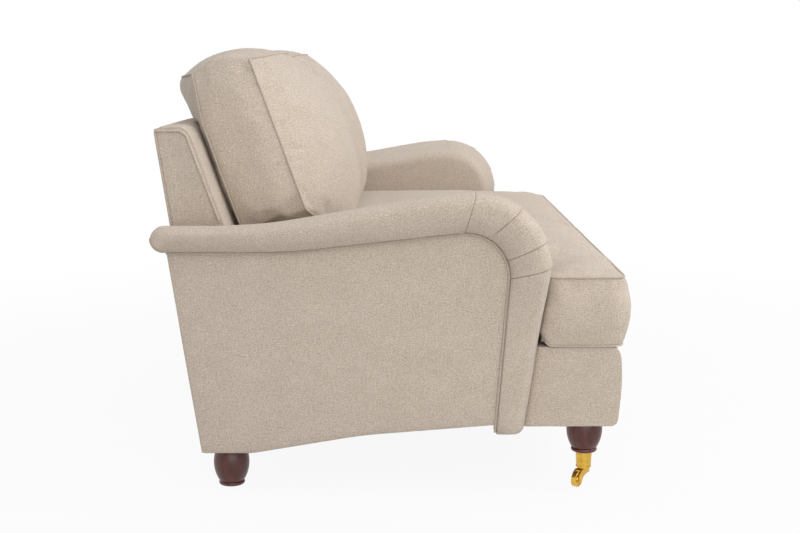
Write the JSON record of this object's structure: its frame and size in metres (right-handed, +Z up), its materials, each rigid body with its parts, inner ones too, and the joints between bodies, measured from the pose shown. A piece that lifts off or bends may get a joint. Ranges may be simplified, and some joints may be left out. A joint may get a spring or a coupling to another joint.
{
  "type": "english roll arm sofa",
  "caption": "Low upholstered sofa with pleated roll arms, loose boxed seat and back cushions, turned wooden feet and brass front casters.",
  "frame": {"origin": "centre of the overall box, at floor level", "axes": "+X to the right arm as seen by a person facing the sofa, -Y out of the front, +Z up"},
  "size_m": [1.75, 0.9679, 0.8977],
  "materials": {
    "linen": "mottled woven linen, matte",
    "foam": "open-cell filling",
    "frame_wood": "planed beech, unfinished",
    "leg_wood": "dark mahogany stain, satin lacquer",
    "webbing": "woven strap",
    "dust_cloth": "thin black cloth",
    "steel": "plain steel wire and fittings",
    "brass": "polished, lightly worn"
  },
  "bodies": {
    "frame": {"arm_cover_left": "linen", "arm_cover_right": "linen", "arm_front_post_left": "frame_wood", "arm_front_post_right": "frame_wood", "arm_inner_rail_left": "frame_wood", "arm_inner_rail_right": "frame_wood", "arm_lower_rail_left": "frame_wood", "arm_lower_rail_right": "frame_wood", "arm_piping_left": "linen", "arm_piping_right": "linen", "arm_rear_post_left": "frame_wood", "arm_rear_post_right": "frame_wood", "arm_top_rail_left": "frame_wood", "arm_top_rail_right": "frame_wood", "back_centre_post": "frame_wood", "back_lower_rail": "frame_wood", "back_piping_left": "linen", "back_piping_right": "linen", "back_post_left": "frame_wood", "back_post_right": "frame_wood", "back_top_rail": "frame_wood", "back_webbing": "webbing", "caster_socket_left": "brass", "caster_socket_right": "brass", "corner_blocks": "frame_wood", "dust_cover": "dust_cloth", "front_border": "linen", "front_leg_left": "leg_wood", "front_leg_right": "leg_wood", "front_rail": "frame_wood", "hanger_bolts": "steel", "inside_back": "linen", "outside_arm_left": "linen", "outside_arm_right": "linen", "outside_back": "linen", "rear_foot_left": "leg_wood", "rear_foot_right": "leg_wood", "rear_rail": "frame_wood", "seat_cross_rails": "frame_wood", "seat_deck": "linen", "seat_springs": "steel", "side_rail_left": "frame_wood", "side_rail_right": "frame_wood", "spring_clips": "steel", "tee_nuts": "steel"},
    "caster_fork_left": {"caster_fork_left": "brass", "caster_axle_left": "brass"},
    "caster_wheel_left": {"caster_wheel_left": "brass"},
    "seat_cushion_left": {"seat_cushion_left": "linen", "seat_cushion_core_left": "foam"},
    "back_cushion_left": {"back_cushion_left": "linen", "back_cushion_core_left": "foam"},
    "caster_fork_right": {"caster_fork_right": "brass", "caster_axle_right": "brass"},
    "caster_wheel_right": {"caster_wheel_right": "brass"},
    "seat_cushion_right": {"seat_cushion_right": "linen", "seat_cushion_core_right": "foam"},
    "back_cushion_right": {"back_cushion_right": "linen", "back_cushion_core_right": "foam"}
  },
  "joints": [
    {"name": "caster_swivel_left", "type": "hinge", "parent": "frame", "child": "caster_fork_left", "pos_m": [-0.74, -0.398, 0.033], "axis": [0, 0, 1], "continuous": true},
    {"name": "caster_roll_left", "type": "hinge", "parent": "caster_fork_left", "child": "caster_wheel_left", "pos_m": [-0.75998, -0.38199, 0.016], "axis": [0.6252, 0.7804, 0], "continuous": true},
    {"name": "caster_swivel_right", "type": "hinge", "parent": "frame", "child": "caster_fork_right", "pos_m": [0.74, -0.398, 0.033], "axis": [0, 0, 1], "continuous": true},
    {"name": "caster_roll_right", "type": "hinge", "parent": "caster_fork_right", "child": "caster_wheel_right", "pos_m": [0.75998, -0.38199, 0.016], "axis": [-0.6252, 0.7804, 0], "continuous": true},
    {"name": "seat_slide_left", "type": "slide", "parent": "frame", "child": "seat_cushion_left", "axis": [0, -1, 0], "range_m": [0, 0.65]},
    {"name": "seat_slide_right", "type": "slide", "parent": "frame", "child": "seat_cushion_right", "axis": [0, -1, 0], "range_m": [0, 0.65]},
    {"name": "back_lift_left", "type": "slide", "parent": "frame", "child": "back_cushion_left", "axis": [0, 0.3304, 0.9439], "range_m": [0, 0.45]},
    {"name": "back_lift_right", "type": "slide", "parent": "frame", "child": "back_cushion_right", "axis": [0, 0.3304, 0.9439], "range_m": [0, 0.45]}
  ]
}
